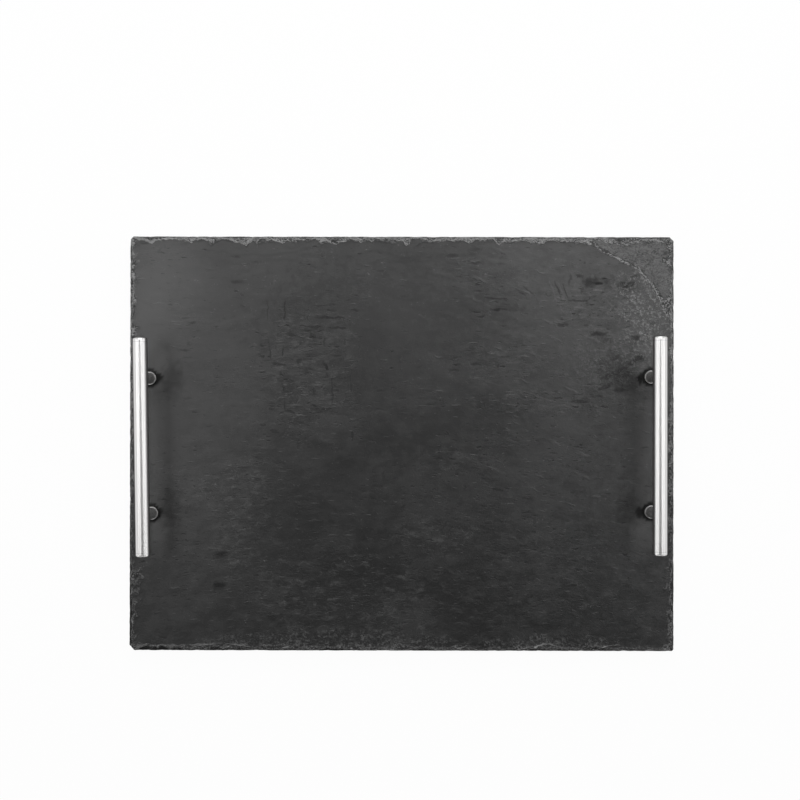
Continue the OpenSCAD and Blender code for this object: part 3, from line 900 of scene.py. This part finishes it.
        # Stains, and painted shade where the board lies darker because of how the light falls
        tone = self.math("SUBTRACT", tone, self.stain_and_shade * STAIN_AND_SHADE_TONE, clamp=True)
        colour = self.mix(tone, grey(SLATE_DARK), grey(SLATE_LIGHT))

        gritty = self.sandy * self.ramp(self.grains, 0.5, 0.62)
        scratched = self.most(self.pale_marks, self.strokes(PALE_STROKES))
        # Painted light where the lamps' sheen falls and beside the bars, added to pale scratches, grit
        # and flecks
        light = self.painted_light * PAINTED_LIGHT_SHARE + scratched * SCRATCH_LIGHT
        light += gritty * GRIT_LIGHT
        light += self.ramp(self.mottle, 0.54, 0.7) * self.rough * FLECK_LIGHT
        specks = self.speck * (SPECK_LIGHT + self.scuff * SCUFF_LIGHT)
        return self.mix(self.math("ADD", light, specks, clamp=True), colour, grey(CHALK_LIGHT))

    def broken_colour(self, face):
        """The face's colour, covered by that of fresh breaks, painted shade in pits, painted shade and
        dark smudges on the lowest edge and beside the posts, and chips.
        """
        fresh = self.fresh = self.field(self.add("Attribute", attribute_name="fresh"), "Fac")
        rim = self.rim = self.field(self.add("Attribute", attribute_name="rim"), "Fac")
        layers = self.noise(self.stretch(self.ragged, (1, 1.3, 12)), 150, 5, 0.65)
        crumbs = self.noise(self.place(scale=(1, 1.4, 3)), 800, 3, 0.65)
        slanted = self.noise(self.stretch(self.turned, (1, 5, 1)), 170, 4, 0.65)
        pits = self.noise(self.stretch(self.plain, (1, 1.5, 8)), 420, 4, 0.7)
        bare = self.bare = layers * 0.5 + crumbs * 0.5
        smooth = self.ramp(crumbs * 0.5 + slanted * 0.5, 0.4, 0.6)
        smooth = self.mix(smooth, grey(FRESH_DARK), grey(FRESH_LIGHT))
        # At the front the chalk is darker and scarcer: painted shade, for the front edge faces away from
        # the lamps
        chalky = bare + (fresh - 0.75) * 0.3 - self.front * 0.045
        chalk_shaded_at_front = self.mix(self.front, grey(CHALK_LIGHT), grey(FRONT_SHADED_CHALK))
        chalk = self.mix(self.ramp(chalky, 0.46, 0.56), grey(CHALK_DARK), chalk_shaded_at_front)
        broken = self.mix(self.ramp(fresh, 0.5, 0.66), smooth, chalk)
        colour = self.mix(self.ramp(bare + fresh * 0.35, 0.6, 0.7), face, broken)
        # Painted shade in small pits of the breaks, in the darkest slate colour
        self.pit_shade = self.ramp(pits, 0.47, 0.39) * self.ramp(fresh, 0.5, 0.7, 0.15, 1)
        self.pit_shade *= self.ramp(fresh, 0.05, 0.3)
        colour = self.mix(self.pit_shade * 0.75, colour, grey(SLATE_SHADE_AND_SMUDGE))
        # Painted shade on the lowest part of the edge and beside the posts, and dark smudges
        colour = self.mix(rim, colour, grey(SLATE_SHADE_AND_SMUDGE))
        return self.mix(self.strokes(CHIPS), colour, grey(CHALK_LIGHT))

    def set_gloss(self):
        """A faint sheen, duller on marks, painted shade and breaks, and almost none where the lowest
        edge and the posts' surroundings are painted dark.
        """
        dull = self.most(self.stain_and_shade * 0.8, self.dark_marks_and_shade * 1.1)
        dull = self.most(dull, self.pit_shade)
        dull = self.most(dull, self.blots * 0.5)
        roughness = SLATE_ROUGHNESS + self.cloud * 0.08 + self.most(dull, self.fresh) * 0.2
        self.shade("Roughness", roughness)
        self.shade("IOR", SLATE_IOR)
        gloss = (SLATE_GLOSS - self.most(dull, self.fresh) * 0.22) * (1 - self.rim * 0.85)
        self.shade("Specular IOR Level", gloss)

    def raise_relief(self):
        """Bumps of the patterns, in millimetres."""
        height = self.small_ledges * (self.busy * LEDGE_RELIEF)
        height -= self.dark_marks * MARK_RELIEF
        height += self.pale_marks * MARK_RELIEF
        height += self.mottle * (self.mottled * MOTTLE_RELIEF)
        height += self.clumps * CLUMP_RELIEF
        height += self.grain * (GRAIN_RELIEF + self.front * FRONT_GRAIN_RELIEF)
        height += self.grains * (self.sandy * GRIT_RELIEF)
        height += self.bare * (self.fresh * BREAK_RELIEF)
        self.bump(height)


# Colour of the metals' reflections at a grazing angle: near black, which paints shade on the bars'
# flanks as dark lines along their edges
SHADED_EDGE_TINT = (0.02, 0.02, 0.02, 1)
METAL_WARMTH = 0.008
TONE_SPREAD = 0.03
BRIGHTEST = 0.96
BRUSH_RELIEF = 0.0002

# The seam between bar and cap: where it begins and is full, in bar lengths from the middle
SEAM = (0.4965, 0.4985)
SEAM_TONE = 0.7

# Scales of the brushing along a bar, and of fittings without brushing
ALONG_BAR = (40, 0.5, 40)
UNBRUSHED = (3, 3, 3)


def steel_material(name, tone, rough, brush, brushed=0.0, seams=False, turned=0.0):
    """Satin steel. The brushing spreads reflections along the bar, not round it."""
    n = Nodes(name)
    lines = n.noise(n.place(scale=brush), 60, 4, 0.6)
    wear = n.noise(n.place(), 45, 3, 0.5)
    share = lines * 0.6 + wear * 0.4
    low, high = tone * (1 - TONE_SPREAD), min(tone * (1 + TONE_SPREAD), BRIGHTEST)
    colour = n.mix(share, grey(low, METAL_WARMTH), grey(high, METAL_WARMTH))
    if seams:
        generated = n.add("TexCoord").outputs["Generated"]
        end = n.field(n.add("SeparateXYZ", {"Vector": generated}), "Y")
        seam = n.ramp(n.math("ABSOLUTE", end - 0.5), *SEAM)
        colour = n.mix(seam, colour, grey(tone * SEAM_TONE))
    n.shade("Base Color", colour)
    n.shade("Metallic", 1)
    n.shade("Roughness", n.ramp(share, 0.3, 0.7, rough - 0.01, rough + 0.015))
    n.shade("Specular Tint", SHADED_EDGE_TINT)
    if brushed:
        n.shade("Anisotropic", brushed)
        along = n.add("CombineXYZ", {"X": 0.0, "Y": 1.0, "Z": 0.0}).outputs[0]
        tangent = n.add("VectorTransform", {"Vector": along}, vector_type="VECTOR",
                        convert_from="OBJECT", convert_to="WORLD")
        n.shade("Tangent", tangent.outputs[0])
    n.bump(lines * BRUSH_RELIEF + n.noise(n.place(), 700, 2) * turned)
    return n.material


def rubber_material():
    """Matt black rubber with a little dust."""
    n = Nodes("black_rubber")
    dust = n.noise(n.place(), 300, 4, 0.6)
    n.shade("Base Color", n.mix(n.ramp(dust, 0.4, 0.75), grey(0.006), grey(0.014)))
    n.shade("Roughness", n.ramp(dust, 0.3, 0.7, 0.7, 0.85))
    n.shade("Specular IOR Level", 0.25)
    n.bump(n.noise(n.place(), 1800, 2), 0.4, 0.05 * MM)
    return n.material


def dress(node, material):
    """Gives one of the CAD's pieces its material."""
    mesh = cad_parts[node].data
    mesh.materials.clear()
    mesh.materials.append(material)


def dress_hardware():
    """Steel and rubber for all pieces but the slate."""
    bar_steel = steel_material("satin_steel", 0.8, 0.3, ALONG_BAR, brushed=0.86, seams=True)
    cap_steel = steel_material("satin_caps", 0.82, 0.3, ALONG_BAR, brushed=0.86)
    fitting_steel = steel_material("satin_fittings", 0.55, 0.45, UNBRUSHED, turned=0.2)
    plated = steel_material("plated_steel", 0.5, 0.36, UNBRUSHED)
    rubber = rubber_material()
    kinds = {
        "end_cap": cap_steel, "post": fitting_steel, "bar_slug": plated, "stud": plated,
        "base_screw": plated, "screw_washer": plated, "seat_washer": rubber, "foot": rubber,
    }
    for handle in HANDLES:
        dress(f"{handle}_bar_tube", bar_steel)
    for corner in CORNERS:
        for kind, material in kinds.items():
            dress(f"{corner}_{kind}", material)


# Studio

FLOOR_HALF = 12.0
FLOOR_GLOW = 0.96


def make_floor():
    """A white floor that shows the object's soft shadow."""
    square = [(x * FLOOR_HALF, y * FLOOR_HALF, 0) for x, y in ((-1, -1), (1, -1), (1, 1), (-1, 1))]
    mesh = bpy.data.meshes.new("studio_floor")
    mesh.from_pydata(square, [], [(0, 1, 2, 3)])
    floor = bpy.data.objects.new("studio_floor", mesh)
    bpy.context.scene.collection.objects.link(floor)
    n = Nodes("studio_floor")
    n.shade("Base Color", (0.8, 0.8, 0.8, 1))
    n.shade("Roughness", 1)
    n.shade("Specular IOR Level", 0)
    glow = n.add("Emission", {"Color": (1, 1, 1, 1), "Strength": 1.0})
    path = n.add("LightPath")
    seen = n.most(path.outputs["Is Camera Ray"], path.outputs["Is Glossy Ray"])
    seen = n.most(seen, path.outputs["Is Transmission Ray"])
    blend = n.add("MixShader", {"Fac": seen * FLOOR_GLOW})
    n.feed(blend.inputs[1], n.shader.outputs["BSDF"])
    n.feed(blend.inputs[2], glow.outputs["Emission"])
    n.feed(n.output.inputs["Surface"], blend.outputs[0])
    mesh.materials.append(n.material)


# Brightness of the surroundings by the height of a direction, from the horizon to overhead
WORLD_LEVELS = ((0.0, 1.0), (0.07, 1.0), (0.13, 0.8), (0.32, 0.7), (0.5, 0.06), (1.0, 0.06))


def make_world():
    """White at the horizon and darker overhead, where the camera hangs."""
    world = bpy.data.worlds.new("studio")
    bpy.context.scene.world = world
    world.use_nodes = True
    tree = world.node_tree
    tree.nodes.clear()
    kinds = ("OutputWorld", "Background", "TexCoord", "SeparateXYZ", "ValToRGB")
    output, shade, place, split, ramp = (tree.nodes.new("ShaderNode" + kind) for kind in kinds)
    shade.inputs["Color"].default_value = (1, 1, 1, 1)
    tree.links.new(shade.outputs[0], output.inputs["Surface"])
    tree.links.new(place.outputs["Generated"], split.inputs[0])
    while len(ramp.color_ramp.elements) < len(WORLD_LEVELS):
        ramp.color_ramp.elements.new(0.5)
    for element, (height, level) in zip(ramp.color_ramp.elements, WORLD_LEVELS):
        element.position = height
        element.color = (level, level, level, 1)
    tree.links.new(split.outputs["Z"], ramp.inputs["Fac"])
    tree.links.new(ramp.outputs["Color"], shade.inputs["Strength"])


# Soft boxes: name, angle from overhead, azimuth (0 is the right, 90 the rear), size and
# radiance. All of them face the board from the same distance.
LIGHT_DISTANCE = 1.1
SOFT_BOXES = (
    ("rear_left_near", 25, 124, (0.30, 0.30), 3.2),
    ("rear_right_near", 25, 56, (0.30, 0.30), 4.0),
    ("rear_middle", 38, 90, (0.70, 0.30), 2.3),
    ("rear_low", 55, 90, (1.00, 0.40), 4.5),
    ("left_high", 29, 181, (0.28, 0.42), 2.25),
    ("right_high", 29, -1, (0.28, 0.42), 2.15),
    ("left_middle", 42, 176, (0.26, 0.50), 1.7),
    ("right_middle", 42, 4, (0.26, 0.50), 1.6),
    ("left_low", 57, 176, (0.30, 0.60), 1.9),
    ("right_low", 57, 4, (0.30, 0.60), 1.9),
)


def make_lights():
    """Rectangular soft boxes that face the middle of the table."""
    for name, lean, azimuth, size, radiance in SOFT_BOXES:
        lean, azimuth = math.radians(lean), math.radians(azimuth)
        place = LIGHT_DISTANCE * Vector((
            math.sin(lean) * math.cos(azimuth), math.sin(lean) * math.sin(azimuth), math.cos(lean),
        ))
        lamp = bpy.data.lights.new(name, "AREA")
        lamp.shape = "RECTANGLE"
        lamp.size, lamp.size_y = size
        lamp.energy = radiance * math.pi * size[0] * size[1]
        light = bpy.data.objects.new(name, lamp)
        outward = place.normalized()
        across = Vector((0, 1, 0)).cross(outward).normalized()
        along = outward.cross(across)
        turn = Matrix((across, along, outward)).transposed()
        light.matrix_world = Matrix.Translation(place) @ turn.to_4x4()
        bpy.context.scene.collection.objects.link(light)


# The camera, fitted to the photo. Lengths are in metres, except for the sensor and the lens.
PICTURE = 800
FOCAL_PIXELS = 1162.1
SENSOR_WIDTH = 36
CAMERA_PLACE = (-0.0005, 0.0277, 0.838)
CAMERA_PITCH = math.radians(0.241)
CAMERA_ROLL = math.radians(0.055)
CAMERA_YAW = math.radians(0.093)


def make_camera():
    """The photo's viewpoint, nearly straight above the board."""
    data = bpy.data.cameras.new("camera")
    data.sensor_width = SENSOR_WIDTH
    data.lens = SENSOR_WIDTH * FOCAL_PIXELS / PICTURE
    data.clip_start, data.clip_end = 0.01, 20
    camera = bpy.data.objects.new("camera", data)
    turn = (Matrix.Rotation(CAMERA_YAW, 4, "Z") @ Matrix.Rotation(CAMERA_PITCH, 4, "X")
            @ Matrix.Rotation(CAMERA_ROLL, 4, "Y"))
    camera.matrix_world = Matrix.Translation(Vector(CAMERA_PLACE)) @ turn
    bpy.context.scene.collection.objects.link(camera)
    bpy.context.scene.camera = camera


make_camera()
slate = build_slate()
slate.data.materials.append(SlateStone().material)
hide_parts("slate_board")
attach(slate, "root")
dress_hardware()
make_floor()
make_world()
make_lights()
bpy.context.scene.view_settings.view_transform = "Standard"
